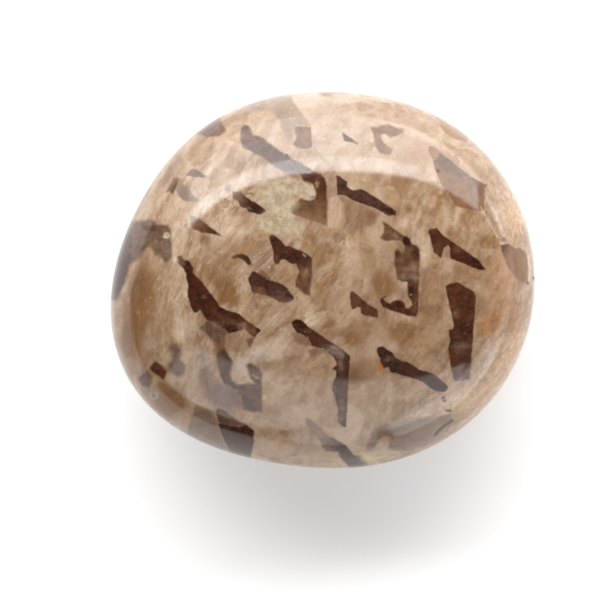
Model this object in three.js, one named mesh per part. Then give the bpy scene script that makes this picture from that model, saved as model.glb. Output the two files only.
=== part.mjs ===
// A polished feldspar pebble: one solid stone, worn to a thick rounded oval, with a small flat spot that it rests on.
// Millimetres, +Z up. The origin is the middle of the base of the stone's bounding box, and the flat spot lies in z = 0.
import * as THREE from "three";
import { mergeVertices } from "three/addons/utils/BufferGeometryUtils.js";

// The outline seen from above is a circle of this radius with a few long swellings on it.
// Each swelling repeats round the stone: how many times, how far it stands out, and the angle of one crest.
const MEAN_RADIUS = 31.5;
const SWELLINGS = [
  { times: 2, height: 1.91, crestDegrees: 9.5 },
  { times: 3, height: 0.48, crestDegrees: -37 },
  { times: 4, height: 0.37, crestDegrees: 32 },
  { times: 5, height: 0.17, crestDegrees: -15 },
];

// The side profile. The exponent is 2 for an ellipse, and a little more for a face that is flatter than its shoulders.
const TOP_HEIGHT = 16.3;
const BASE_DEPTH = 15.0;
const PROFILE_EXPONENT = 2.22;
const REST_SPOT_DEPTH = 0.3;

// The highest point of the upper face lies this far from the middle of the outline.
const CREST_SHIFT = new THREE.Vector2(1.6, 0.6);

// Hand polishing leaves broad, shallow waves. Each one runs along a direction, in turns across one radius.
const POLISH_WAVES = [
  { along: new THREE.Vector3(0.8, 0.5, 0.3), turns: 0.62, height: 0.1, start: 0.4 },
  { along: new THREE.Vector3(-0.4, 0.9, 0.2), turns: 0.81, height: 0.08, start: 2.1 },
  { along: new THREE.Vector3(0.3, -0.3, 0.9), turns: 0.74, height: 0.06, start: 4.4 },
];

// Squares along each edge of the cube that is rounded into the stone.
const GRID = 24;

const STONE_COLOUR = 0xc3a483;
const POLISH_ROUGHNESS = 0.14;

// How far the outline lies from the middle, at an angle in the plane seen from above.
function outlineRadius(angle) {
  return SWELLINGS.reduce((radius, swelling) => {
    const crest = THREE.MathUtils.degToRad(swelling.crestDegrees);
    return radius + swelling.height * Math.cos(swelling.times * (angle - crest));
  }, MEAN_RADIUS);
}

// Spreads a point on the cube evenly over the unit sphere.
function cubeToSphere({ x, y, z }) {
  const [xx, yy, zz] = [x * x, y * y, z * z];
  return new THREE.Vector3(
    x * Math.sqrt(1 - yy / 2 - zz / 2 + (yy * zz) / 3),
    y * Math.sqrt(1 - zz / 2 - xx / 2 + (zz * xx) / 3),
    z * Math.sqrt(1 - xx / 2 - yy / 2 + (xx * yy) / 3),
  );
}

// Height of the polishing waves at a point of the unit sphere.
function polishWave(onSphere) {
  return POLISH_WAVES.reduce((height, wave) => {
    const turn = 2 * Math.PI * wave.turns * onSphere.dot(wave.along) + wave.start;
    return height + wave.height * Math.sin(turn);
  }, 0);
}

// The stone's surface over a point of the unit sphere, from the middle of the widest contour.
function stoneSurface(onSphere) {
  const halfHeight = onSphere.z > 0 ? TOP_HEIGHT : BASE_DEPTH;
  const ray = new THREE.Vector3(MEAN_RADIUS, MEAN_RADIUS, halfHeight).multiply(onSphere).normalize();
  const across = Math.hypot(ray.x, ray.y) / outlineRadius(Math.atan2(ray.y, ray.x));
  const up = Math.abs(ray.z) / halfHeight;
  const reach = (across ** PROFILE_EXPONENT + up ** PROFILE_EXPONENT) ** (-1 / PROFILE_EXPONENT);
  const point = ray.multiplyScalar(reach + polishWave(onSphere));
  const towardsCrest = (Math.max(point.z, 0) / TOP_HEIGHT) ** 2;
  point.x += CREST_SHIFT.x * towardsCrest;
  point.y += CREST_SHIFT.y * towardsCrest;
  return point;
}

// The closed surface: a cube's grid rounded into the stone, with the lowest part worn flat.
function stoneGeometry() {
  const grid = new THREE.BoxGeometry(2, 2, 2, GRID, GRID, GRID);
  grid.deleteAttribute("normal");
  grid.deleteAttribute("uv");
  const geometry = mergeVertices(grid);
  const position = geometry.attributes.position;
  const restHeight = REST_SPOT_DEPTH - BASE_DEPTH;
  const point = new THREE.Vector3();
  for (let i = 0; i < position.count; i++) {
    point.fromBufferAttribute(position, i);
    const { x, y, z } = stoneSurface(cubeToSphere(point));
    position.setXYZ(i, x, y, Math.max(z - restHeight, 0));
  }
  geometry.computeBoundingBox();
  const middle = geometry.boundingBox.getCenter(new THREE.Vector3());
  geometry.translate(-middle.x, -middle.y, 0);
  geometry.computeVertexNormals();
  return geometry;
}

const material = new THREE.MeshStandardMaterial({
  color: STONE_COLOUR,
  roughness: POLISH_ROUGHNESS,
  metalness: 0,
});
const stone = new THREE.Mesh(stoneGeometry(), material);
stone.name = "pebble";

const pebble = new THREE.Group();
pebble.add(stone);

export default pebble;
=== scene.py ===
import math

import bmesh
import bpy
import numpy as np
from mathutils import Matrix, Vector


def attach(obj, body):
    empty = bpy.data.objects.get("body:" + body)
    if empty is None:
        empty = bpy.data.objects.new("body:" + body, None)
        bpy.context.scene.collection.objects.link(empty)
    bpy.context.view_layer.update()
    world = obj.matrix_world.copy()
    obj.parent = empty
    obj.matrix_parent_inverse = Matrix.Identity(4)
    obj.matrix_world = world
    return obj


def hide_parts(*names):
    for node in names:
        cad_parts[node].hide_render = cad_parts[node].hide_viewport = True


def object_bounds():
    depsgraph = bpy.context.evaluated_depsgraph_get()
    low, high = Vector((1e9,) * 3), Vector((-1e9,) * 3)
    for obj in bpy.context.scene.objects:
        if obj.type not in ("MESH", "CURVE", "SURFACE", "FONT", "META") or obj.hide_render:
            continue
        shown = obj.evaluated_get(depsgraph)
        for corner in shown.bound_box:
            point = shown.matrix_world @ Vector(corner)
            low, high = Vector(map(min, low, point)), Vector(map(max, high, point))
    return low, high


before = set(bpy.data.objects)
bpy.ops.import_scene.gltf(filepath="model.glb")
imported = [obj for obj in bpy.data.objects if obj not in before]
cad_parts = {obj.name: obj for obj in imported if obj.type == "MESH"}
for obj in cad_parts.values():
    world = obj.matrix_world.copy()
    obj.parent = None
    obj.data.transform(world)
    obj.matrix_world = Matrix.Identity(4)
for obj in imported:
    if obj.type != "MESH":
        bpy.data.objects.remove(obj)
CAD_LOW, CAD_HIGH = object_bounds()
MM = 0.001

# The photograph's frame. The camera looks straight down on the broad face.
PHOTO_SIZE = 600
PIXELS_PER_MM = 6.4
OUTLINE_MIDDLE = (322.4, 279.75)
CAMERA_DISTANCE = 450 * MM
SENSOR_WIDTH = 36.0
NEAREST_SEEN = 0.01

# How finely the surface is meshed, and how far it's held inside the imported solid's box.
GRID = 54
REFINE_WITHIN = (0.6 * MM, 0.26 * MM)
HIDDEN_REFINE_WITHIN = (0.35 * MM, 0.05 * MM)
HIDDEN_BELOW_WIDEST = 3 * MM
FIT_DEGREE = 10
WIDEST_SHARE = 0.995
REST_SPOT_MARGIN = 0.02 * MM
KEEP_INSIDE = np.array([0.9991, 0.9991, 0.9978])

# The quartz runs down into the stone, leaning a little, and its colour goes from pale to dark.
LEAN = (0.30, -0.22)
QUARTZ_SHADES = (0.0, 0.3, 0.5, 0.7, 0.85, 1.0)
QUARTZ_COLOURS = ((0.285, 0.212, 0.155), (0.205, 0.137, 0.093), (0.137, 0.080, 0.049),
                  (0.086, 0.040, 0.021), (0.054, 0.019, 0.009), (0.032, 0.008, 0.004))
GREY_SHARE = 0.4

# What a layer holds where no shape is near. Distances stop at the first of these, in millimetres.
FAR_AWAY = 9.0
FAR_COLOUR = 0.2
FAR_BLUR = 0.1

# The same figures reach to these depths below the widest contour from the broad face, and begin at
# these from the underside, in millimetres. There they are turned round and drawn a little smaller.
FACE_DEPTHS = (2.5, 10)
BACK_DEPTHS = (3, 9)
ABOVE_ALL = -1.0
BELOW_ALL = 99.0
BACK_STAIN_DEPTH = 8
BACK_TURN = math.radians(197)
BACK_SIZE = 0.93
SHAPE_SEED = 7

# The polish, and how deep a pit or crack is where its painted shade and dullness are full.
POLISHED_ROUGHNESS = 0.1
STONE_IOR = 1.53
FULL_PIT_SHADE_DEPTH = 0.1 * MM

# Where the feldspar's streaks are strongest, in millimetres.
STREAKY_MIDDLE = (-13.0, 3.0, 30.0)


def widest_height(points):
    """The height of the widest contour, from the points furthest out along the stone's length."""
    out = np.abs(points[:, 0])
    return points[out > WIDEST_SHARE * out.max(), 2].mean()


def frame_points(node):
    """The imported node's corner points, each once."""
    return np.unique(np.array([v.co for v in node.data.vertices]).round(7), axis=0)


STONE_POINTS = frame_points(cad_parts["pebble"])
WIDEST = widest_height(STONE_POINTS)
CAMERA_PLACE = Vector((
    (PHOTO_SIZE / 2 - OUTLINE_MIDDLE[0]) / PIXELS_PER_MM * MM,
    (OUTLINE_MIDDLE[1] - PHOTO_SIZE / 2) / PIXELS_PER_MM * MM,
    WIDEST + CAMERA_DISTANCE,
))


def to_pixels(points):
    """Where points in metres fall in the photograph."""
    scale = PIXELS_PER_MM / MM * CAMERA_DISTANCE / (CAMERA_PLACE.z - points[:, 2])
    x = PHOTO_SIZE / 2 + scale * (points[:, 0] - CAMERA_PLACE.x)
    y = PHOTO_SIZE / 2 - scale * (points[:, 1] - CAMERA_PLACE.y)
    return np.column_stack([x, y])


def quartz_colour(shade, grey):
    """The colour of quartz from its darkness, drawn towards grey."""
    colour = np.array([np.interp(shade, QUARTZ_SHADES, channel) for channel in zip(*QUARTZ_COLOURS)])
    return colour + GREY_SHARE * grey * (colour.mean() - colour)


# The stone's smooth surface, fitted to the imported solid.

class SmoothStone:
    """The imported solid's shape as one smooth function of the direction from its middle."""

    def __init__(self, points):
        self.half = np.array((CAD_HIGH - CAD_LOW) / 2)
        self.middle = np.array((CAD_HIGH + CAD_LOW) / 2)
        clear_of_rest_spot = points[points[:, 2] > CAD_LOW.z + REST_SPOT_MARGIN]
        scaled = (clear_of_rest_spot - self.middle) / self.half
        reach = np.linalg.norm(scaled, axis=1)
        self.weights = np.linalg.lstsq(self.terms(scaled / reach[:, None]), reach, rcond=None)[0]

    @staticmethod
    def terms(directions):
        """Products of x, y and z of the two highest degrees, which span all the lower ones on a sphere."""
        x, y, z = directions.T
        return np.column_stack([
            x**i * y**j * z**(degree - i - j)
            for degree in (FIT_DEGREE - 1, FIT_DEGREE)
            for i in range(degree + 1)
            for j in range(degree + 1 - i)
        ])

    def points(self, directions):
        """The polished surface over unit directions."""
        reach = self.terms(directions) @ self.weights
        return self.middle + KEEP_INSIDE * directions * reach[:, None] * self.half

    def worn(self, directions):
        """The surface with its pits and cracks, flat where it rests."""
        points = self.points(directions)
        outwards = (points - self.middle) / self.half**2
        outwards /= np.linalg.norm(outwards, axis=1)[:, None]
        points -= outwards * relief_depth(points)[:, None]
        points[:, 2] = np.maximum(points[:, 2], CAD_LOW.z)
        return points


# Quartz figures on the broad face, as outlines in pixels of the photograph.

def shape(outline, colour, blur, strength=1.0, far_colour=None, run=None):
    """A shape with one colour, or one that runs to another. Its outline and its run are x and y in turn."""
    return {
        "outline": np.array(outline, float).reshape(-1, 2),
        "colour": colour,
        "far_colour": far_colour,
        "run": run,
        "strength": strength,
        "blur": blur,
    }


def figure(outline, shade, far_shade=0.0, run=None, grey=0.0, blur=0.15):
    """A figure of quartz: how dark it is, or how its darkness runs from one pixel to another."""
    return shape(outline, quartz_colour(shade, grey), blur, 1.0, quartz_colour(far_shade, grey), run)


FIGURES = [
    # Along the upper rim.
    figure([190,130, 204,118, 218,114, 226,131, 220,136, 207,137, 197,134], 0.62, blur=0.25),
    figure([244,105, 256,99, 270,95, 284,92, 291,92, 293,101, 303,115, 308,120, 311,127, 298,126, 293,128,
        294,135, 292,143, 287,141, 283,132, 280,121, 274,115, 268,110, 247,113], 0.16, grey=0.3, blur=0.3),
    figure([294,127, 298,126, 311,127, 312,147, 308,149, 297,148, 293,144, 296,139, 296,135, 294,134,
        295,130], 0.5, blur=0.2),
    figure([431,110, 445,133, 452,138, 467,143, 468,138, 471,134, 463,126, 440,111], 0.3, grey=-1.2,
        blur=0.2),
    # Upper left.
    figure([186,176, 188,172, 192,169, 197,169, 207,178], 0.45, 0.8, (188,172, 203,176), grey=0.3),
    figure([166,192, 174,178, 177,177, 180,179, 173,194, 170,192], 0.66, grey=-0.4, blur=0.3),
    figure([176,190, 180,181, 199,200, 197,203, 183,200, 179,196], 0.16, 0.42, (180,188, 195,199),
        grey=0.6, blur=0.25),
    figure([222,162, 226,162, 232,168, 228,168], 0.3, blur=0.35),
    figure([224,189, 227,184, 231,185, 232,190, 229,194], 0.5, grey=0.2, blur=0.35),
    figure([232,191, 241,192, 246,197, 264,208, 266,211, 261,215, 249,212, 246,208, 243,208, 240,206,
        238,201, 233,198], 0.45, 0.97, (235,194, 248,203)),
    figure([241,127, 244,124, 248,125, 251,129, 253,135, 259,136, 265,139, 271,145, 313,171, 322,174,
        285,172, 276,168, 264,158, 243,148, 240,140], 0.56, 0.84, (247,134, 262,148), grey=0.2, blur=0.25),
    # Its darkest part, down the left flank left of x 124, is quartz with painted shade laid into it.
    figure([133,221, 152,220, 157,224, 168,225, 171,229, 172,257, 168,262, 164,262, 160,254, 156,255,
        150,246, 147,247, 139,258, 131,264, 125,282, 117,300, 104,300, 104,260, 110,235, 120,222], 0.9,
        0.6, (124,250, 134,250), grey=0.3, blur=0.35),
    figure([190,214, 203,221, 222,236, 200,232, 197,230, 193,230, 191,226], 0.54, 0.9, (193,221, 213,233),
        grey=-0.6, blur=0.2),
    # Upper middle.
    figure([342,132, 358,143, 357,145, 354,143, 344,141], 0.72, grey=0.2),
    figure([371,127, 378,127, 380,125, 389,124, 395,127, 403,129, 403,133, 390,138, 385,134, 382,134,
        381,138, 384,143, 392,150, 391,154, 386,155, 380,153, 376,147], 0.54, grey=-0.3, blur=0.25),
    figure([300,174, 305,172, 315,172, 321,174, 325,178, 327,186, 327,226, 292,214, 289,209, 299,199,
        303,198, 310,200, 314,199, 316,194, 313,184, 303,181], 0.84, 0.46, (315,192, 308,224), grey=-0.5,
        blur=0.25),
    figure([285,173, 291,171, 297,174, 299,179, 292,178], 0.6, grey=0.2, blur=0.4),
    figure([336,175, 340,176, 345,180, 347,182, 347,186, 352,190, 361,189, 366,191, 396,211, 396,215,
        389,216, 375,208, 367,206, 350,199, 345,195, 337,195], 0.85, 0.88, (350,190, 390,212), grey=0.5),
    figure([437,150, 470,176, 484,184, 488,184, 485,188, 484,210, 480,211, 472,210, 455,206, 449,194,
        441,184, 435,169, 433,162], 0.82, 0.5, (462,166, 452,186), grey=-0.9),
    figure([428,150, 430,146, 432,146, 435,147, 442,153, 437,161, 434,163], 0.46, grey=-0.9, blur=0.2),
    # The middle of the face.
    figure([269,238, 270,234, 273,234, 280,239, 286,246, 289,246, 304,252, 312,258, 312,276, 299,276,
        299,271, 296,264, 292,264, 284,259, 281,260, 279,264, 276,264, 274,262, 273,258, 274,253], 0.93,
        0.7, (301,262, 304,272)),
    figure([299,273, 312,273, 310,296, 304,294, 295,286, 297,276], 0.67, grey=-0.3, blur=0.2),
    figure([248,278, 253,271, 262,274, 270,280, 280,283, 285,286, 294,297, 294,300, 285,303, 280,302,
        268,296, 252,292], 0.93, 0.72, (262,288, 260,294), grey=0.4),
    figure([259,276, 259,271, 263,270, 268,275, 272,281, 266,280], 0.55, grey=-0.3, blur=0.3),
    figure([231,258, 233,256, 241,253, 248,256, 252,264, 249,266, 243,260, 239,258, 234,259], 0.74, 0.86,
        (238,256, 247,260)),
    figure([233,266, 235,262, 239,261, 236,265], 0.4, grey=0.3, blur=0.2),
    figure([350,292, 353,291, 368,304, 378,310, 378,318, 366,316, 361,313, 361,308, 357,307, 355,309,
        352,309, 350,303], 0.8),
    figure([291,322, 296,319, 301,320, 309,327, 343,350, 350,356, 346,427, 341,426, 338,421, 337,405,
        335,396, 332,390, 332,385, 336,376, 336,371, 332,369, 336,366, 336,362, 334,358, 324,349, 311,346,
        307,339, 296,332], 1.0, 0.86, (300,326, 320,345)),
    figure([294,334, 301,333, 309,337, 313,345, 307,346, 299,344, 294,341], 0.42, grey=-0.2, blur=0.35),
    figure([307,350, 316,348, 330,349, 331,353, 322,352, 315,357, 311,356], 0.42, grey=-0.2, blur=0.35),
    # Right of the middle.
    figure([382,220, 404,236, 407,236, 410,239, 412,244, 417,246, 420,250, 418,312, 416,317, 405,315,
        390,310, 383,307, 380,302, 380,298, 386,296, 384,299, 386,302, 390,303, 396,300, 400,300, 404,302,
        406,308, 409,308, 412,305, 411,301, 408,297, 407,282, 402,282, 397,279, 394,262, 395,250, 398,248,
        401,252, 404,250, 404,246, 401,241, 397,240, 385,241, 380,238, 384,232, 384,227], 0.67, 0.9,
        (410,278, 411,287), grey=-0.2, blur=0.2),
    figure([428,231, 430,229, 437,228, 444,236, 479,260, 486,270, 481,270, 474,268, 450,258, 450,248,
        448,245, 444,248, 441,258, 434,253], 0.9, 1.0, (436,248, 466,258), grey=-0.2),
    figure([445,286, 451,283, 458,282, 474,292, 476,297, 470,379, 455,381, 453,377, 448,349, 450,340,
        448,330, 452,329, 454,326], 0.86, grey=-0.3),
    figure([376,349, 378,347, 382,346, 391,352, 396,358, 402,361, 408,362, 420,370, 434,374, 446,384,
        448,387, 447,391, 443,392, 437,391, 430,388, 424,383, 418,380, 391,372, 388,367, 384,369, 381,367,
        380,360], 0.97, 0.91, (392,362, 412,371), grey=0.5),
    figure([500,246, 503,244, 508,243, 511,246, 516,248, 520,248, 525,252, 528,257, 528,280, 523,283,
        517,279, 512,273, 508,268], 0.78, 0.46, (503,250, 511,256), grey=-1.1, blur=0.2),
    # Left of the middle and below.
    figure([177,262, 178,257, 181,256, 184,260, 188,260, 194,268, 193,273, 202,282, 220,306, 226,310,
        238,313, 250,323, 261,330, 255,338, 249,334, 244,327, 242,330, 229,334, 206,319, 200,310, 198,312,
        194,313, 191,308, 190,302, 187,296, 188,283, 186,278, 186,273, 183,268], 0.7, 0.97,
        (182,260, 187,264), grey=-0.3),
    figure([200,328, 208,319, 214,321, 230,331, 225,336, 225,342, 222,345, 216,344], 0.72, 0.6,
        (210,324, 218,336), grey=0.2, blur=0.35),
    figure([247,340, 250,338, 254,338, 253,343, 250,348, 248,346], 0.66, grey=-0.3, blur=0.3),
    figure([217,341, 222,343, 233,362, 230,374, 232,380, 237,384, 255,384, 251,379, 246,365, 250,363,
        260,369, 262,374, 262,412, 252,412, 243,410, 239,396, 233,393, 231,387, 224,383, 220,376,
        216,358], 0.78, 0.68, (228,372, 245,392), grey=0.4, blur=0.3),
    figure([214,342, 218,341, 226,351, 216,354], 0.5, grey=-0.3, blur=0.5),
    figure([228,386, 240,386, 243,395, 243,408, 234,404, 229,395], 0.46, grey=0.3, blur=0.7),
    figure([167,347, 171,344, 176,345, 181,350, 180,355, 181,360, 185,365, 186,370, 183,375, 178,377,
        172,374, 168,369, 168,364, 172,359, 172,354], 0.54, grey=0.5, blur=0.45),
    figure([150,368, 152,364, 156,361, 160,364, 167,371, 164,380, 152,372], 0.84, grey=-0.4, blur=0.25),
    figure([138,378, 143,373, 148,371, 152,376, 152,382, 149,388, 142,386], 0.74, blur=0.4),
    figure([196,405, 213,410, 223,440, 229,452, 205,447, 186,436, 190,420], 0.44, grey=0.2, blur=0.35),
    figure([215,411, 218,408, 222,409, 240,422, 246,424, 240,427, 222,425, 218,421], 0.68, grey=0.5,
        blur=0.25),
    figure([218,424, 222,423, 240,427, 246,424, 254,431, 254,441, 249,464, 236,462, 229,451, 222,436],
        0.96, blur=0.2),
    # Lower middle and lower right.
    figure([305,419, 309,418, 320,427, 328,436, 334,438, 346,445, 354,455, 362,455, 367,460, 366,470,
        352,470, 340,457, 338,452, 326,451, 322,448, 321,443, 306,424], 0.3, 0.86, (322,434, 338,450),
        grey=0.3, blur=0.25),
    figure([366,450, 371,434, 376,428, 384,424, 410,418, 449,415, 453,419, 451,428, 437,441, 425,447,
        410,451, 395,451, 388,449, 389,443, 392,438, 388,436, 382,437, 378,441, 376,447, 373,451,
        368,452], 0.45, 0.28, (398,440, 436,424), grey=0.3, blur=0.35),
]


# The colours of stains, clouds and patches.
STAIN_COLOURS = {
    "golden": (0.195, 0.097, 0.040),
    "brown": (0.160, 0.082, 0.042),
    "tan": (0.250, 0.146, 0.080),
    "peach": (0.330, 0.190, 0.105),
    # A painted glow, paler and warmer, for a side lit through the stone.
    "honey": (0.46, 0.300, 0.180),
    "pale": (0.460, 0.340, 0.235),
    "white": (0.55, 0.48, 0.42),
    "milky": (0.43, 0.345, 0.272),
    "cream": (0.378, 0.305, 0.212),
    "apricot": (0.300, 0.148, 0.066),
    "yellow": (0.46, 0.37, 0.165),
    "orange": (0.36, 0.115, 0.030),
    "olive": (0.14, 0.100, 0.048),
    "haze": (0.20, 0.132, 0.090),
    "mauve": (0.165, 0.115, 0.096),
    "amber": (0.110, 0.050, 0.022),
    "deep": (0.030, 0.008, 0.004),
    "dark": (0.012, 0.009, 0.008),
}
SMALL_STAIN = 4
FAINTEST_STAIN = 0.02

# How many half widths from their middle pits, cracks and fine lines end.
PIT_REACH = 1.3
LINE_REACH = 1.5

# Clouds in the feldspar alone, by kind; a few are painted light or shade, as marked below. Each has x and y
# in pixels, its half width and half height in pixels, its turn in degrees where it is turned, and its
# strength.
CLOUDS = [
    ("tan", [(222,274, 20,20, 30, 0.6), (258,256, 12,14, 20, 0.7), (385,270, 16,28, 0.55),
        (398,332, 50,14, 0.5), (432,292, 14,36, 0.95), (484,300, 16,44, 0.8), (474,274, 16,12, 0.6),
        (362,370, 18,14, 0.8), (415,152, 18,13, 0.75), (236,342, 14,10, 0.5), (455,243, 12,8, -35, 0.5),
        (462,262, 30,28, 0.6)]),
    ("milky", [(320,130, 95,36, 0.5), (455,125, 50,24, -30, 0.3)]),
    ("white", [(320,98, 70,8, 0.3), (262,356, 22,10, 0.4), (241,368, 8,12, 0.4)]),
    # Painted glow along the right rim and lower right: that side is lighter as though light shone through
    # the stone.
    ("honey", [(515,340, 14,40, 0.6), (500,378, 16,30, -35, 0.55), (470,405, 22,22, -35, 0.6),
        (515,215, 12,26, 0.8)]),
    ("mauve", [(226,397, 18,16, 0.75), (206,362, 12,24, 0.5), (212,392, 10,10, 0.4)]),
    ("pale", [(310,313, 6,16, 0.5), (350,423, 15,12, -60, 0.5), (225,232, 20,10, 20, 0.6),
        (203,250, 13,9, 20, 0.4), (176,300, 11,36, 0.5), (176,212, 14,24, 0.7), (176,238, 9,22, 0.7),
        (345,245, 16,9, 0.4), (150,265, 12,10, 0.4), (236,226, 15,13, 0.45), (278,346, 20,12, 0.6),
        (318,318, 14,8, 0.4), (182,334, 10,10, 0.6), (498,205, 12,36, -25, 0.4), (400,222, 18,8, 0.4),
        (448,266, 6,6, 0.5), (423,250, 5,16, 0.4), (290,268, 5,8, 0.4), (350,264, 18,20, 20, 0.4),
        (270,100, 25,8, 0.4), (300,416, 24,14, 0.6), (340,444, 16,8, -20, 0.6), (284,316, 16,10, 0.4),
        (480,288, 6,6, 0.5), (150,345, 8,8, 0.6), (300,225, 9,6, 0.5)]),
    ("peach", [(505,285, 13,44, 0.9), (425,345, 15,10, 0.5), (415,152, 18,12, 0.3)]),
    # The golden clouds at (140,305), (130,338) and (168,402) are painted shade: they darken the left rim
    # and the lower left.
    ("golden", [(140,305, 16,55, -8, 0.75), (168,402, 22,18, 40, 0.85), (512,312, 9,14, 0.5),
        (313,237, 6,9, 20, 0.6), (322,285, 11,5, 10, 0.5), (341,283, 4,4, 0.5), (322,263, 6,6, 0.5),
        (381,284, 8,12, 20, 1), (392,288, 8,9, 0.5), (368,250, 7,5, 30, 0.45), (352,338, 8,7, 20, 1),
        (354,322, 6,5, 0.5), (490,240, 8,5, 0.6), (409,210, 6,4, 40, 0.8), (402,333, 10,9, 1),
        (228,290, 8,12, 30, 1), (222,299, 9,5, 60, 0.8), (205,240, 6,6, 15, 0.9), (130,338, 8,20, 0.8),
        (205,262, 6,8, 0.5), (236,209, 4,5, 0.5), (245,222, 6,5, 0.5), (215,278, 7,9, 30, 0.5),
        (236,302, 8,6, 0.5), (172,404, 8,8, 0.5), (162,388, 6,6, 0.7)]),
    # The brown cloud at (141,285) is painted shade on the left side.
    ("brown", [(370,218, 8,8, 20, 0.7), (354,376, 7,8, 0.95), (428,309, 10,6, 0.7), (430,273, 7,5, 0.4),
        (377,178, 13,5, 60, 0.5), (141,285, 7,12, -15, 0.8), (204,374, 6,9, 0.5), (440,355, 8,9, 0.4),
        (452,232, 7,5, -30, 0.4), (458,268, 5,5, 0.4)]),
]

# Clouds in the quartz alone: where it is deep and dark, and where light comes through it.
QUARTZ_CLOUDS = [
    ("amber", [(304,209, 9,5, 0.4), (277,257, 3,7, 0.5), (260,290, 9,4, -15, 0.7),
        (387,233, 6,6, -40, 0.6), (416,302, 3,12, 0.6), (412,312, 5,4, 0.3), (437,249, 5,7, 0.5),
        (457,249, 6,4, -35, 0.5), (457,303, 7,14, 5, 0.3), (308,331, 4,4, 0.5), (216,313, 8,3, -35, 0.5),
        (234,322, 8,5, -30, 0.4), (251,330, 7,5, -35, 0.8), (222,347, 5,4, -30, 0.9)]),
    ("mauve", [(281,294, 8,5, -35, 0.35), (404,277, 7,3, -10, 0.5), (415,277, 4,6, 0.5),
        (462,354, 10,4, 0.3), (335,351, 11,5, -25, 0.8), (341,414, 7,16, 0.5), (166,250, 5,10, 0.6)]),
    ("haze", [(317,185, 3,4, 0.7), (389,359, 6,5, 0.4), (396,236, 4,3, -40, 0.6), (411,268, 8,6, 0.5),
        (456,315, 4,6, 20, 0.3), (460,346, 12,5, 0.45), (333,349, 3,2, 0.5), (341,366, 4,9, 0.5),
        (334,390, 3,6, 0.4), (204,297, 4,3, 0.4), (225,321, 8,4, -30, 0.25), (242,326, 4,6, -30, 0.4),
        (216,325, 8,4, -30, 0.5), (154,242, 9,5, 0.5)]),
    ("deep", [(247,130, 5,6, 0.5), (312,177, 10,3, 0.5), (341,184, 5,9, 0.5), (390,211, 7,3, -25, 0.8),
        (276,241, 5,6, 0.5), (294,254, 6,4, -30, 0.6), (267,287, 3,10, 20, 0.7), (407,241, 6,5, -40, 0.9),
        (415,253, 5,9, 0.7), (398,255, 4,5, 0.6), (411,290, 4,5, 0.8), (399,305, 4,4, 0.7),
        (474,261, 8,4, -35, 0.5), (441,236, 6,4, -40, 0.5), (452,287, 6,3, 0.4), (465,330, 8,9, 0.7),
        (459,364, 10,3, 12, 0.5), (299,326, 6,6, 0.7), (324,343, 4,3, -30, 0.6), (150,228, 10,4, 0.6)]),
]

# Stains over feldspar and quartz alike: small stains, inclusions, beads and greyer parts.
STAINS = [
    ("mauve", [(152,397, 9,6, 0.5), (470,414, 12,8, 35, 0.45), (443.5,399, 2.6,3.4, 0.7),
        (438,172, 1.3,1.3, 0.6), (312.5,197, 2.6,2, 20, 0.8)]),
    ("brown", [(272,180, 4,2.5, 0.4), (293,209, 4,4, 20, 0.4), (206,383, 2.5,6, 20, 0.8),
        (327,94, 9,3, 0.6), (326,160, 7,8, 30, 0.3)]),
    ("golden", [(263,187, 4,4, 0.35), (160,389, 4,5, 20, 0.9)]),
    ("orange", [(380,367, 3,6, 20, 0.8), (206,386, 1.5,3, 20, 0.4)]),
    ("olive", [(203.5,328.5, 3,3.6, 0.6), (400,276.5, 3.5,1.8, 0.3)]),
    ("cream", [(166.5,235.5, 3.6,3.6, 0.9)]),
    ("yellow", [(268,230, 5,3, 0.6), (283,212, 6,3, 10, 0.5), (271,222, 5,3, 0.3),
        (155,380, 3,5, 10, 0.4), (165,358, 3,10, 0.35), (460,409, 14,4.5, 57, 0.35), (493,240, 6,4, 0.35),
        (368,458, 9,4, -15, 0.6), (468,325, 3,1.6, 20, 0.25), (167,235.5, 1.5,1.5, 0.5)]),
    ("white", [(304.5,255.5, 3,0.9, -40, 0.6), (286.5,252, 1.3,1.3, 0.4), (342,394.5, 1.6,1.4, 0.3),
        (342.5,402, 1.4,1.8, 0.3), (411,294.5, 1.8,1.5, 0.4), (175,259, 3.5,4.5, 30, 0.6),
        (249,208, 4.5,1.8, -30, 0.35), (304.5,331.5, 1,1, 0.4), (308,190, 5,5, 0.35),
        (269.5,267, 1.2,1.2, 0.8), (154,395.5, 4,4, 0.35)]),
    ("pale", [(464.5,333.5, 1.6,1.4, 0.35)]),
    ("haze", [(154,395.5, 1.9,2.1, 0.9)]),
    ("dark", [(411,281, 1.8,1.8, 0.4), (440,309, 1.1,1.1, 0.6)]),
]


def patch(kind, strength, blur, outline):
    """A patch with clear edges, in one of the stain colours."""
    return shape(outline, np.array(STAIN_COLOURS[kind]), blur, strength)
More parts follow.
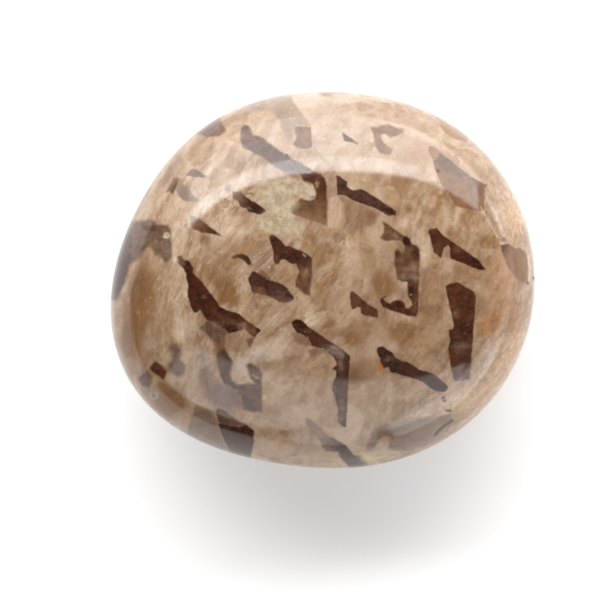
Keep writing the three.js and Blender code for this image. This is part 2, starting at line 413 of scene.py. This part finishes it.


# Angular domains of the feldspar that differ in tone, and one pale patch that is a painted reflection.
DOMAINS = [
    patch("brown", 0.6, 0.5, [338,195, 347,197, 380,213, 372,224, 360,229, 350,238, 345,225]),
    patch("brown", 0.5, 0.25, [329,230, 338,233, 346,239, 345,244, 334,242]),
    patch("haze", 0.5, 0.15, [266,237, 273,250, 273,262, 268,270, 256,270, 249,264, 249,257]),
    patch("haze", 0.5, 0.25, [328,177, 336,177, 337,196, 328,198]),
    patch("pale", 0.45, 0.3, [328,196, 336,196, 344,204, 346,222, 340,230, 328,227]),
    # This pale patch is a painted reflection off the feldspar's cleavage.
    patch("pale", 0.5, 0.2, [348,404, 356,407, 361,412, 365,419, 358,438, 350,443, 325,430, 322,427,
        342,428, 347,425]),
    patch("pale", 0.45, 0.2, [387,374, 392,376, 391,403, 386,402]),
    patch("golden", 0.45, 0.3, [396,176, 415,178, 412,190, 402,197, 394,190]),
    patch("golden", 0.4, 0.25, [418,182, 436,181, 441,190, 432,196, 420,196]),
    patch("golden", 0.6, 0.25, [437,197, 447,190, 450,197, 431,213]),
    patch("haze", 0.4, 0.2, [449,244, 452,246, 447,252, 446,258, 441,258, 442,252]),
    patch("tan", 0.8, 0.15, [224,337, 229,334, 240,332, 246,333, 248,339, 247,346, 243,352, 228,351,
        224,346]),
    patch("golden", 0.5, 0.35, [460,215, 468,210, 480,213, 487,219, 478,227, 466,229, 459,223]),
    patch("golden", 0.5, 0.3, [478,240, 488,236, 499,237, 499,247, 488,249, 479,246]),
    patch("apricot", 0.85, 0.3, [482,316, 494,313, 503,316, 503,323, 495,331, 484,338, 476,336, 478,326]),
    patch("apricot", 0.75, 0.3, [497,300, 510,297, 517,302, 517,312, 507,314, 500,310]),
    patch("apricot", 0.6, 0.3, [508,316, 517,318, 514,330, 505,338, 503,330]),
    patch("apricot", 0.5, 0.35, [505,275, 514,272, 518,282, 514,290, 504,288]),
    patch("pale", 0.4, 0.3, [421,232, 429,243, 431,256, 425,272, 421,262]),
]

# Patches with clear edges in the quartz and the feldspar. The first two are the crust in the upper part.
INCLUSIONS = [
    patch("cream", 0.95, 0.2, [288,190, 290,184, 296,181, 303,181, 312,187, 315,192, 314,198, 311,200,
        307,200, 296,196]),
    patch("cream", 0.95, 0.8, [259,187, 264,181, 270,178, 290,178, 300,180, 302,186, 296,196, 299,203,
        291,214, 297,227, 290,233, 270,234, 262,231, 256,226, 259,218, 268,211, 262,202, 259,195]),
    patch("mauve", 0.3, 0.25, [275,109, 288,108, 289,118, 283,122, 278,119]),
    patch("mauve", 0.35, 0.25, [248,104, 262,102, 268,106, 262,110, 252,111]),
    patch("peach", 0.6, 0.3, [302,273, 304,268, 308,268, 308,273, 304,277]),
    patch("mauve", 0.5, 0.25, [288,298, 293,297, 294,300, 290,302]),
    patch("haze", 0.75, 0.35, [396,242, 400,240, 403,244, 404,249, 402,252, 398,248]),
    patch("peach", 0.5, 0.4, [404,302, 406,295, 409,298, 412,304, 409,308]),
    patch("cream", 0.6, 0.5, [358,456, 363,451, 372,449, 385,449, 394,451, 388,457, 376,461, 364,463]),
    patch("mauve", 0.4, 0.2, [450,368, 472,362, 471,379, 455,381]),
    patch("olive", 0.8, 0.15, [176,257, 181,256, 185,260, 184,266, 179,264]),
    patch("olive", 0.6, 0.3, [150,245, 157,242, 160,252, 156,255]),
    patch("olive", 0.6, 0.3, [161,249, 166,250, 166,256, 162,256]),
    patch("mauve", 0.25, 0.3, [132,226, 143,226, 145,236, 139,252, 132,258]),
    patch("pale", 0.4, 0.12, [250,373, 254,374, 262,380, 262,382, 256,379]),
]

# Fine lines of colour, a few of them painted highlights: a kind, a path in pixels, its half width in pixels
# and its strength.
LINES = [
    ("brown", [(314,148), (319,155), (322,158), (328,163), (335,172)], 1.1, 0.45),
    ("brown", [(328,172), (333,166), (335,172)], 1.1, 0.4),
    ("golden", [(483,205), (493,221), (503,236)], 1.8, 0.5),
    ("dark", [(489,248), (492,248.5), (497,248)], 0.7, 0.5),
    # The next three pale lines are painted highlights: two along the upper edge of the lower band of
    # reflected light, one along the bright streak on the right shoulder.
    ("pale", [(278,344), (292,345.5), (306,347), (316,348.5)], 1.3, 0.3),
    ("pale", [(416,359), (432,355), (447,351)], 1.2, 0.3),
    ("pale", [(498,238), (489,222), (480,206)], 1.1, 0.5),
    ("pale", [(528,256), (530,268), (529,281)], 1.5, 0.7),
    ("pale", [(345,243), (356,240), (366,242), (376,247)], 1.2, 0.4),
    ("brown", [(353,250), (355,257), (358,263)], 1.2, 0.35),
    ("pale", [(379,318), (379,330), (378,345)], 1.2, 0.3),
    ("brown", [(221,414), (228,418), (235,422)], 1.2, 0.5),
    ("brown", [(204,376), (207,384), (208,394), (209,403)], 1.3, 0.4),
    ("pale", [(249,335), (252,336), (255,338.5)], 0.8, 0.4),
    ("pale", [(252,283), (258,288), (266,294)], 0.7, 0.25),
    ("pale", [(257,282), (262,283.5), (266,290)], 0.6, 0.25),
]

# Pits: x and y in pixels, radius in pixels and depth in millimetres.
PITS = [
    (287,156, 2.4, 0.10), (438,172, 1.4, 0.10), (527,283, 2.0, 0.15), (533,278, 1.8, 0.12),
    (440,309, 1.1, 0.08), (493,248, 1.4, 0.10), (503.5,240.5, 2.4, 0.08), (443,397, 1.4, 0.10),
    (444.5,400.5, 1.2, 0.10), (154,395.5, 2.0, 0.10), (166.5,235.5, 2.0, 0.08),
]

# Cracks and scratches: a path in pixels, its half width in pixels and its depth in millimetres.
CRACKS = [
    ([(452.5,420.5), (445,425), (439,430), (435,434.5)], 1.6, 0.16),
    ([(446,410.5), (450.5,411)], 1.1, 0.16),
    ([(481,206), (490,222), (500,237)], 0.8, 0.02),
    ([(293,160), (299,170)], 0.6, 0.04),
    ([(298,160), (304,170)], 0.6, 0.04),
    ([(302,163), (309,171)], 0.6, 0.04),
    ([(288,162), (293,170)], 0.6, 0.04),
]


def outline_distance(pixels, outline):
    """The distance from an outline in pixels, negative inside it."""
    inside = np.zeros(len(pixels), bool)
    nearest = np.full(len(pixels), np.inf)
    for start, end in zip(outline, np.roll(outline, -1, axis=0)):
        nearest = np.minimum(nearest, line_distance(pixels, start, end))
        dx, dy = end - start
        if dy:
            crosses = (start[1] > pixels[:, 1]) != (end[1] > pixels[:, 1])
            inside ^= crosses & (pixels[:, 0] - start[0] < (pixels[:, 1] - start[1]) * dx / dy)
    return np.where(inside, -nearest, nearest)


def line_distance(pixels, start, end):
    """The distance from a straight line between two pixels."""
    along = np.clip(run_share(pixels, start, end), 0, 1)
    place = np.asarray(start) + along[:, None] * (np.asarray(end, float) - start)
    return np.linalg.norm(pixels - place, axis=1)


def run_share(pixels, start, end):
    """How far along a run from one pixel to another each point is: 0 at its start and 1 at its end."""
    along = np.asarray(end, float) - start
    return (pixels - start) @ along / (along @ along)


def path_distance(pixels, path):
    """The distance from a path of straight lines."""
    return np.min([line_distance(pixels, *ends) for ends in zip(path, path[1:])], axis=0)


class Layer:
    """For each point: how far the nearest shape of a list is, in millimetres, and that shape's looks."""

    def __init__(self, points, shapes):
        count = len(points)
        self.edge = np.full(count, FAR_AWAY)
        self.colour = np.full((count, 3), FAR_COLOUR)
        self.strength = np.zeros(count)
        self.blur = np.full(count, FAR_BLUR)
        chance = np.random.default_rng(SHAPE_SEED)
        every = len(shapes)
        depth = depth_below_widest(points)
        ends = chance.uniform(*FACE_DEPTHS, every)
        self.draw(shapes, face_pixels(points), np.full(every, ABOVE_ALL), ends, depth)
        begins = chance.uniform(*BACK_DEPTHS, every)
        self.draw(shapes, back_pixels(points), begins, np.full(every, BELOW_ALL), depth)

    def draw(self, shapes, pixels, begins, ends, depth):
        """Draws the shapes, each from one depth to another below the broad face, in millimetres."""
        for item, first, last in zip(shapes, begins, ends):
            low = item["outline"].min(0) - FAR_AWAY
            high = item["outline"].max(0) + FAR_AWAY
            near = np.flatnonzero(((pixels > low) & (pixels < high)).all(1))
            here = pixels[near]
            distance = outline_distance(here, item["outline"]) / PIXELS_PER_MM
            distance = np.maximum(distance, np.maximum(first - depth[near], depth[near] - last))
            closer = distance < self.edge[near]
            chosen = near[closer]
            colour = item["colour"]
            if item["run"]:
                share = run_share(here[closer], item["run"][:2], item["run"][2:])
                share = np.clip(share, 0, 1)[:, None]
                colour = colour + (item["far_colour"] - colour) * share
            self.edge[chosen] = distance[closer]
            self.colour[chosen] = colour
            self.strength[chosen] = item["strength"]
            self.blur[chosen] = item["blur"]


def depth_below_widest(points):
    """How far points lie below the widest contour, in millimetres."""
    return np.maximum(WIDEST - points[:, 2], 0) / MM


def face_pixels(points):
    """Where the figures of the broad face are read: they lean a little as they go down the sides."""
    return to_pixels(points) + np.outer(depth_below_widest(points), LEAN) * PIXELS_PER_MM


def back_pixels(points):
    """The same figures in another place for the underside: turned over and turned round."""
    across, up = (to_pixels(points) - OUTLINE_MIDDLE).T
    return OUTLINE_MIDDLE + BACK_SIZE * np.column_stack([
        -across * math.cos(BACK_TURN) - up * math.sin(BACK_TURN),
        -across * math.sin(BACK_TURN) + up * math.cos(BACK_TURN),
    ])


def stain_map(points, stains, lines=()):
    """The colour and strength of stains and fine lines at points of the surface."""
    colour = np.zeros((len(points), 3))
    strength = np.zeros(len(points))
    depth = depth_below_widest(points)
    on_face = depth < BACK_STAIN_DEPTH
    for pixels, here in ((face_pixels(points), on_face), (back_pixels(points), ~on_face)):
        for kind, x, y, wide, high, turn, strong in each_of(stains):
            tilt = math.radians(turn)
            dx, dy = pixels[:, 0] - x, y - pixels[:, 1]
            along = (dx * math.cos(tilt) + dy * math.sin(tilt)) / wide
            across = (dy * math.cos(tilt) - dx * math.sin(tilt)) / high
            share = strong * here / (1 + (along**2 + across**2) ** 2)
            share = np.where(share > FAINTEST_STAIN, share, 0)
            colour, strength = lay_over(colour, strength, kind, share)
    pixels = to_pixels(points)
    for kind, path, half_width, strong in lines:
        away = path_distance(pixels, path) / half_width
        share = strong * np.clip(LINE_REACH - away, 0, 1) * (depth == 0)
        colour, strength = lay_over(colour, strength, kind, share)
    return colour, strength


def each_of(stains):
    """Stains that are listed by kind, each with its kind, and with no turn where none is given."""
    for kind, places in stains:
        for x, y, wide, high, *turn, strong in places:
            yield kind, x, y, wide, high, sum(turn), strong


def lay_over(colour, strength, kind, share):
    """Lays one stain over what is there, with its share at each point."""
    strength = share + strength * (1 - share)
    part = np.divide(share, strength, out=np.zeros_like(share), where=strength > 0)
    return colour + (np.array(STAIN_COLOURS[kind]) - colour) * part[:, None], strength


def pits_and_cracks(pixels):
    """For each pit and crack: how far pixels are from its middle, its half width and its depth."""
    for x, y, radius, depth in PITS:
        yield np.linalg.norm(pixels - (x, y), axis=1), radius, depth
    for path, half_width, depth in CRACKS:
        yield path_distance(pixels, path), half_width, depth


def relief_depth(points):
    """How deep the pits and cracks go at points of the surface, in metres."""
    deep = np.zeros(len(points))
    on_top = points[:, 2] > WIDEST
    for away, half_width, depth in pits_and_cracks(to_pixels(points)):
        deep = np.maximum(deep, depth * np.clip(PIT_REACH - away / half_width, 0, 1) * on_top)
    return deep * MM


def detail_distance(points):
    """How far points are from the nearest place where the mesh has to be fine, in metres."""
    pixels = to_pixels(points)
    found = np.abs(Layer(points, FIGURES).edge) * PIXELS_PER_MM
    found = np.minimum(found, np.abs(Layer(points, INCLUSIONS).edge) * PIXELS_PER_MM)
    for away, half_width, _ in pits_and_cracks(pixels):
        found = np.minimum(found, away - half_width)
    for _, path, half_width, _ in LINES:
        found = np.minimum(found, path_distance(pixels, path) - half_width)
    for _, x, y, wide, high, _, _ in each_of(STAINS):
        if min(wide, high) < SMALL_STAIN:
            found = np.minimum(found, np.linalg.norm(pixels - (x, y), axis=1) - max(wide, high))
    return found / PIXELS_PER_MM * MM


# The mesh: a cube's grid rounded into the stone, finer along the edges of the quartz.

def cube_to_sphere(co):
    """Spreads a point on a cube of half side 1 evenly over the unit sphere."""
    xx, yy, zz = co.x * co.x, co.y * co.y, co.z * co.z
    return Vector((
        co.x * math.sqrt(1 - yy / 2 - zz / 2 + yy * zz / 3),
        co.y * math.sqrt(1 - zz / 2 - xx / 2 + zz * xx / 3),
        co.z * math.sqrt(1 - xx / 2 - yy / 2 + xx * yy / 3),
    ))


def directions_of(mesh):
    """The mesh's points as unit directions."""
    directions = np.array([v.co for v in mesh.verts])
    return directions / np.linalg.norm(directions, axis=1)[:, None]


def refine(mesh, level):
    """Splits the faces that have a point close to some detail."""
    points = STONE.points(directions_of(mesh))
    within = np.where(
        points[:, 2] > WIDEST - HIDDEN_BELOW_WIDEST, REFINE_WITHIN[level], HIDDEN_REFINE_WITHIN[level])
    close = detail_distance(points) < within
    mesh.verts.index_update()
    edges = {e for f in mesh.faces if any(close[v.index] for v in f.verts) for e in f.edges}
    bmesh.ops.subdivide_edges(mesh, edges=list(edges), cuts=1, use_grid_fill=True)


def stone_mesh():
    """The surface of the stone as a mesh."""
    mesh = bmesh.new()
    bmesh.ops.create_cube(mesh, size=2)
    bmesh.ops.subdivide_edges(mesh, edges=mesh.edges[:], cuts=GRID - 1, use_grid_fill=True)
    for v in mesh.verts:
        v.co = cube_to_sphere(v.co)
    for level in range(len(REFINE_WITHIN)):
        refine(mesh, level)
    for v, place in zip(mesh.verts, STONE.worn(directions_of(mesh))):
        v.co = place
    data = bpy.data.meshes.new("pebble_surface")
    mesh.to_mesh(data)
    mesh.free()
    data.shade_smooth()
    return data


def mesh_points(data):
    """The mesh's points as an array."""
    points = np.empty(len(data.vertices) * 3, np.float32)
    data.vertices.foreach_get("co", points)
    return points.reshape(-1, 3).astype(float)


# What each point of the surface holds for the material.

def store(data, name, values):
    """Stores a number, or a colour and its strength, for each point of the mesh."""
    values = np.asarray(values, np.float32)
    kind, field = ("FLOAT", "value") if values.ndim == 1 else ("FLOAT_COLOR", "color")
    data.attributes.new(name, kind, "POINT").data.foreach_set(field, values.ravel())


def paint(data):
    """Writes the layers of colour onto the mesh's points."""
    points = mesh_points(data)
    for name, shapes in (("domain", DOMAINS), ("quartz", FIGURES), ("inclusion", INCLUSIONS)):
        layer = Layer(points, shapes)
        store(data, name + "_edge", layer.edge)
        store(data, name + "_blur", layer.blur)
        store(data, name, np.column_stack([layer.colour, layer.strength]))
    for name, *marks in (("cloud", CLOUDS), ("quartz_cloud", QUARTZ_CLOUDS), ("stain", STAINS, LINES)):
        store(data, name, np.column_stack(stain_map(points, *marks)))
    # Painted shade in the pits and cracks, from how deep they go; it also makes them duller.
    store(data, "pit_shade_and_dullness", np.clip(relief_depth(points) / FULL_PIT_SHADE_DEPTH, 0, 1))


# The material.

class Graph:
    """Adds nodes to a tree. An input given as a socket is linked, and one given as a value is set."""

    def __init__(self, tree):
        self.tree = tree

    def feed(self, socket, value):
        if isinstance(value, bpy.types.NodeSocket):
            self.tree.links.new(value, socket)
        else:
            socket.default_value = value

    def add(self, kind, inputs=None, **settings):
        node = self.tree.nodes.new("ShaderNode" + kind)
        for name, value in settings.items():
            setattr(node, name, value)
        for key, value in (inputs or {}).items():
            self.feed(node.inputs[key], value)
        return node

    def math(self, operation, *values, kind="Math", **settings):
        node = self.add(kind, operation=operation, **settings)
        for socket, value in zip(node.inputs, values):
            self.feed(socket, value)
        return node.outputs[0]

    def vector(self, operation, *values):
        return self.math(operation, *values, kind="VectorMath")

    def times(self, *values):
        return self.math("MULTIPLY", *values)

    def times_plus(self, *values):
        """The first value times the second, plus the third."""
        return self.math("MULTIPLY_ADD", *values)

    def minus(self, *values):
        return self.math("SUBTRACT", *values)

    def mix(self, share, first, second, blend="MIX"):
        inputs = {0: share, 6: first, 7: second}
        return self.add("Mix", inputs, data_type="RGBA", blend_type=blend).outputs[2]

    def noise(self, place, scale, detail=2.0, roughness=0.5, output="Fac"):
        inputs = {"Vector": place, "Scale": scale, "Detail": detail, "Roughness": roughness}
        return self.add("TexNoise", inputs).outputs[output]

    def step(self, value, low, high):
        inputs = {"Value": value, "From Min": low, "From Max": high}
        return self.add("MapRange", inputs, interpolation_type="SMOOTHSTEP").outputs[0]

    def line(self, noise, half_width):
        """Thin lines where noise passes its middle."""
        return self.step(self.math("ABSOLUTE", self.minus(noise, 0.5)), half_width, 0.0)

    def number(self, name):
        return self.add("Attribute", attribute_name=name).outputs["Fac"]

    def colour(self, name):
        """A stored colour and its strength."""
        node = self.add("Attribute", attribute_name=name)
        return node.outputs["Color"], node.outputs["Alpha"]

    def layer(self, name, wander):
        """A layer's colour, and how far it covers each place, with a wandering edge."""
        colour, strength = self.colour(name)
        edge = self.math("ADD", self.number(name + "_edge"), wander)
        blur = self.number(name + "_blur")
        inside = self.step(edge, blur, self.times(blur, -1.0))
        return colour, self.times(inside, strength)

    def ramp(self, value, *stops):
        node = self.add("ValToRGB", {0: value})
        elements = node.color_ramp.elements
        while len(elements) < len(stops):
            elements.new(0.5)
        for element, (place, colour) in zip(elements, stops):
            element.position = place
            element.color = (*colour, 1)
        return node.outputs[0]

    def shaken(self, place, shake, size):
        """A place moved about by noise."""
        return self.vector("MULTIPLY_ADD", shake, (size,) * 3, place)

    def parts(self, colour):
        return self.add("SeparateColor", {0: colour}).outputs

    def cells(self, place, scale, feature="F1", **inputs):
        """Three numbers of its own for each cell of an uneven pattern."""
        inputs.update(Vector=place, Scale=scale)
        return self.parts(self.add("TexVoronoi", inputs, feature=feature).outputs["Color"])


FELDSPAR_TONES = (
    (0.40, (0.215, 0.118, 0.058)),
    (0.47, (0.275, 0.172, 0.100)),
    (0.54, (0.350, 0.237, 0.152)),
    (0.63, (0.440, 0.322, 0.225)),
)
PEACH_FACET = (0.300, 0.165, 0.086, 1)
PALE_STREAK = (0.50, 0.392, 0.285, 1)
PALE_THREAD = (0.24, 0.17, 0.125, 1)
# The colour of the painted shade in pits and cracks.
PAINTED_PIT_SHADE = (0.05, 0.04, 0.03, 1)


def toned(graph, colour, share, dark, pale):
    """Colour from darker to paler: times dark at share 0, and times pale at share 1."""
    darker = graph.mix(1.0, colour, (*dark, 1), "MULTIPLY")
    paler = graph.mix(1.0, colour, (*pale, 1), "MULTIPLY")
    return graph.mix(share, darker, paler)


def calmed(graph, tone, share):
    """A tone from 0 to 1, drawn towards its middle where the share is low."""
    return graph.times_plus(graph.minus(tone, 0.5), share, 0.5)


def stained(graph, colour, name, place, scale):
    """Colour with a list of stains over it, broken up by noise."""
    stain, strength = graph.colour(name)
    mottle = graph.times_plus(graph.noise(place, scale, 4.0, 0.65), 0.9, -0.45)
    share = graph.step(graph.math("ADD", strength, mottle), 0.12, 0.75)
    share = graph.times(share, graph.math("MULTIPLY", strength, 1.3, use_clamp=True))
    return graph.mix(share, colour, stain)


def streaky_share(graph, place):
    """How strong the streaks are: full near the middle of the streaky part, and weaker away from it."""
    node = graph.add("VectorMath", {0: place, 1: STREAKY_MIDDLE}, operation="DISTANCE")
    return graph.times_plus(graph.step(node.outputs["Value"], 26.0, 10.0), 0.7, 0.3)


def right_share(graph, place):
    """How far each place is in the patchy right-hand part."""
    sides = graph.add("SeparateXYZ", {0: place}).outputs
    return graph.times(graph.step(sides[0], 4.0, 14.0), graph.step(sides[1], 19.0, 12.0))


def leaning(graph, place, shake):
    """Places turned the way that the streaks lean, which differs from part to part."""
    part = graph.cells(graph.shaken(place, shake, 7.0), 0.10)
    angle = graph.times_plus(part[0], 0.75, -1.45)
    bend = graph.noise(place, 0.12, 1.0, output="Color")
    inputs = {"Vector": graph.shaken(place, bend, 3.0), "Angle": angle}
    return graph.add("VectorRotate", inputs, rotation_type="Z_AXIS").outputs[0]


def facets(graph, place, shake, turned, streaky, lively):
    """Tan, golden and peach facets."""
    broad = graph.noise(graph.vector("MULTIPLY", turned, (0.24, 0.42, 0.3)), 1.0, 4.0, 0.6)
    cloud = graph.noise(place, 0.13, 4.0, 0.6)
    stretched = graph.vector("MULTIPLY", turned, (0.26, 0.62, 0.45))
    facet = graph.cells(graph.shaken(stretched, shake, 1.2), 1.0, "SMOOTH_F1", Smoothness=0.22)
    value = graph.times_plus(cloud, 0.30, graph.times_plus(broad, 0.40, 0.15))
    value = graph.times_plus(graph.times(graph.minus(facet[0], 0.5), streaky), 0.13, value)
    colour = graph.ramp(value, *FELDSPAR_TONES)
    peach = graph.times(graph.step(facet[1], 0.62, 0.82), 0.35)
    return graph.mix(graph.times(peach, lively), colour, PEACH_FACET)


def streaks(graph, place, turned, right):
    """Streaks along the lean, as a tone from 0 to 1, with softer patches in the right-hand part."""
    streak = graph.noise(graph.vector("MULTIPLY", turned, (0.22, 0.95, 0.7)), 1.0, 3.0, 0.55)
    fine = graph.noise(graph.vector("MULTIPLY", turned, (0.6, 2.4, 1.5)), 1.0, 2.0, 0.5)
    soft = graph.noise(place, 0.9, 4.0, 0.6)
    tone = graph.times_plus(soft, 0.20, graph.times_plus(fine, 0.28, graph.times(streak, 0.52)))
    patchy = graph.times_plus(soft, 0.45, graph.times(streak, 0.55))
    return graph.step(graph.times_plus(graph.minus(patchy, tone), right, tone), 0.39, 0.61)


def grain(graph, place, shake):
    """Fine grain and small flakes, as a tone from 0 to 1."""
    flake = graph.cells(graph.shaken(place, shake, 5.0), 0.42)[2]
    tone = graph.times_plus(graph.noise(place, 1.7, 4.0, 0.7), 0.55, graph.times(flake, 0.12))
    return graph.step(tone, 0.05, 0.62)


def feldspar_colour(graph, place, wander):
    """Tan feldspar: facets, clouds, angular domains, streaks, grain and thin pale lines along the lean."""
    streaky = streaky_share(graph, place)
    right = right_share(graph, place)
    lively = graph.math("MAXIMUM", streaky, right)
    shake = graph.noise(place, 0.3, 3.0, output="Color")
    turned = leaning(graph, place, shake)
    colour = facets(graph, place, shake, turned, streaky, lively)
    colour = stained(graph, colour, "cloud", place, 0.6)
    domain, cover = graph.layer("domain", wander)
    colour = graph.mix(cover, colour, domain)
    tone = calmed(graph, streaks(graph, place, turned, right), lively)
    colour = toned(graph, colour, tone, (0.86, 0.81, 0.77), (1.15, 1.19, 1.23))
    tone = calmed(graph, grain(graph, place, shake), graph.times_plus(lively, 0.75, 0.25))
    colour = toned(graph, colour, tone, (0.75, 0.73, 0.71), (1.14, 1.16, 1.18))
    along = graph.vector("MULTIPLY_ADD", turned, (0.13, 0.75, 0.6), (3.0, 11.0, 7.0))
    line = graph.line(graph.noise(along, 1.0, 3.0, 0.6), 0.020)
    bundle = graph.step(graph.noise(place, 0.28, 3.0, 0.6), 0.42, 0.60)
    share = graph.times(graph.times(line, bundle), graph.times(streaky, 0.42))
    return graph.mix(share, colour, PALE_STREAK)


def quartz_body(graph, place):
    """Smoky quartz: its own colour, deep and hazy parts, soft mottling and a few pale threads."""
    own, _ = graph.colour("quartz")
    colour = stained(graph, own, "quartz_cloud", place, 1.7)
    dark = graph.step(graph.parts(own)[0], 0.20, 0.05)
    mottle = graph.step(graph.noise(place, 0.8, 5.0, 0.65), 0.38, 0.62)
    mottle = calmed(graph, mottle, graph.times_plus(dark, 0.7, 0.3))
    colour = toned(graph, colour, mottle, (0.76, 0.71, 0.68), (1.36, 1.33, 1.30))
    threads = graph.noise(graph.vector("MULTIPLY", place, (1.0, 1.6, 1.0)), 0.9, 5.0, 0.7)
    return graph.mix(graph.times(graph.line(threads, 0.012), 0.22), colour, PALE_THREAD)


def with_inclusions(graph, colour, place, wander):
    """Colour with the crumbly inclusions over it."""
    inclusion, cover = graph.layer("inclusion", graph.times(wander, 2.5))
    crumbs = graph.step(graph.noise(place, 1.3, 5.0, 0.72), 0.36, 0.58)
    crust = graph.step(graph.noise(place, 0.9, 5.0, 0.7), 0.40, 0.62)
    inclusion = toned(graph, inclusion, crust, (0.78, 0.74, 0.66), (1.14, 1.16, 1.20))
    share = graph.times(cover, graph.times_plus(crumbs, 0.4, 0.6))
    return graph.mix(share, colour, inclusion)


def new_material(name):
    material = bpy.data.materials.new(name)
    material.use_nodes = True
    return material, material.node_tree.nodes["Principled BSDF"]


def stone_material():
    """Polished feldspar and quartz, with painted shade in the pits and cracks that is darker and duller the
    deeper they go.
    """
    material, shader = new_material("polished_feldspar")
    graph = Graph(material.node_tree)
    coordinates = graph.add("TexCoord").outputs["Object"]
    place = graph.vector("MULTIPLY", coordinates, (1 / MM,) * 3)
    wander = graph.times_plus(graph.noise(place, 1.1, 5.0, 0.68), 0.50, -0.25)
    _, inside = graph.layer("quartz", wander)
    colour = graph.mix(inside, feldspar_colour(graph, place, wander), quartz_body(graph, place))
    colour = with_inclusions(graph, colour, place, wander)
    colour = stained(graph, colour, "stain", place, 1.1)
    # Painted shade in the pits and cracks, darker the deeper they go; the same share makes them duller.
    shade_and_dullness = graph.number("pit_shade_and_dullness")
    colour = graph.mix(graph.times(shade_and_dullness, 0.6), colour, PAINTED_PIT_SHADE)
    graph.feed(shader.inputs["Base Color"], colour)
    graph.feed(shader.inputs["Roughness"], graph.times_plus(shade_and_dullness, 0.4, POLISHED_ROUGHNESS))
    graph.feed(shader.inputs["IOR"], STONE_IOR)
    return material


def new_object(name, data):
    thing = bpy.data.objects.new(name, data)
    bpy.context.scene.collection.objects.link(thing)
    return thing


def pebble():
    """The stone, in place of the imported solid."""
    data = stone_mesh()
    paint(data)
    data.materials.append(stone_material())
    piece = new_object("pebble_surface", data)
    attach(piece, "root")
    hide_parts("pebble")


# The stage.

FLOOR_HALF = 3.0
FLOOR_COLOUR = (0.90, 0.90, 0.90, 1)
FLOOR_GLOW = 0.12
FLOOR_ROUGHNESS = 0.9
WHITE = (1, 1, 1, 1)

# Each light's name, azimuth, lowest and highest elevation in degrees, its reach to the left and to the
# right in metres, and its radiance.
LIGHTS = (
    ("upper_light", 97, 20, 52, 1.0, 1.75, 4.8),
    ("upper_light_low", 97, 1, 20, 1.0, 1.75, 3.2),
    ("upper_light_edge", 97, 43, 52, 1.0, 0.60, 4.8),
    ("lower_light", 255, 16, 56, 1.6, 0.75, 1.7),
    ("lower_light_low", 272, 1, 16, 0.18, 0.18, 1.7),
    ("right_edge_light", 22, 5.5, 10.5, 0.15, 0.15, 3.5),
    ("right_light", -48, 1, 22, 0.45, 0.45, 2.2),
)

# The room's dim light, and a glow low down on the right-hand side, which fades upwards and sideways.
ROOM_LIGHT = 0.09
SIDE_GLOW = 2.2
GLOW_DIRECTION = (0.93, 0.36, 0.0)
GLOW_TOP = 0.40
GLOW_NONE, GLOW_FULL = -0.1, 0.8


def floor():
    half = FLOOR_HALF
    corners = [(-half, -half, 0), (half, -half, 0), (half, half, 0), (-half, half, 0)]
    data = bpy.data.meshes.new("floor")
    data.from_pydata(corners, [], [(0, 1, 2, 3)])
    material, shader = new_material("pale_floor")
    shader.inputs["Base Color"].default_value = FLOOR_COLOUR
    shader.inputs["Emission Color"].default_value = WHITE
    shader.inputs["Emission Strength"].default_value = FLOOR_GLOW
    shader.inputs["Roughness"].default_value = FLOOR_ROUGHNESS
    data.materials.append(material)
    ground = new_object("floor", data)


def soft_light(name, azimuth, low, high, left, right, radiance):
    """A soft light a metre from the stone, which faces the stone."""
    turn = math.radians(azimuth)
    rise = math.radians((low + high) / 2)
    toward = Vector((math.cos(rise) * math.cos(turn), math.cos(rise) * math.sin(turn), math.sin(rise)))
    side = Vector((-math.sin(turn), math.cos(turn), 0))
    light = bpy.data.lights.new(name, "AREA")
    light.shape = "RECTANGLE"
    light.size = left + right
    light.size_y = 2 * math.tan(math.radians(high - low) / 2)
    light.energy = math.pi * light.size * light.size_y * radiance
    lamp = new_object(name, light)
    lamp.location = toward + side * (left - right) / 2 + Vector((0, 0, WIDEST))
    lamp.rotation_euler = toward.to_track_quat("Z", "Y").to_euler()
    lamp.visible_camera = False


def world_light():
    """A dim room, brighter low down on the right-hand side."""
    world = bpy.data.worlds.new("studio")
    world.use_nodes = True
    graph = Graph(world.node_tree)
    direction = graph.add("TexCoord").outputs["Generated"]
    low = graph.step(graph.add("SeparateXYZ", {0: direction}).outputs[2], GLOW_TOP, 0.0)
    facing = graph.add("VectorMath", {0: direction, 1: GLOW_DIRECTION}, operation="DOT_PRODUCT")
    glow = graph.times(low, graph.step(facing.outputs["Value"], GLOW_NONE, GLOW_FULL))
    background = world.node_tree.nodes["Background"]
    background.inputs["Color"].default_value = WHITE
    graph.feed(background.inputs["Strength"], graph.times_plus(glow, SIDE_GLOW, ROOM_LIGHT))
    bpy.context.scene.world = world


def camera():
    lens = bpy.data.cameras.new("camera")
    lens.sensor_width = SENSOR_WIDTH
    view_width = PHOTO_SIZE / PIXELS_PER_MM * MM
    lens.lens = SENSOR_WIDTH * CAMERA_DISTANCE / view_width
    lens.clip_start = NEAREST_SEEN
    seat = new_object("camera", lens)
    seat.location = CAMERA_PLACE
    bpy.context.scene.camera = seat


STONE = SmoothStone(STONE_POINTS)
pebble()
floor()
for numbers in LIGHTS:
    soft_light(*numbers)
world_light()
camera()
bpy.context.scene.view_settings.view_transform = "Standard"
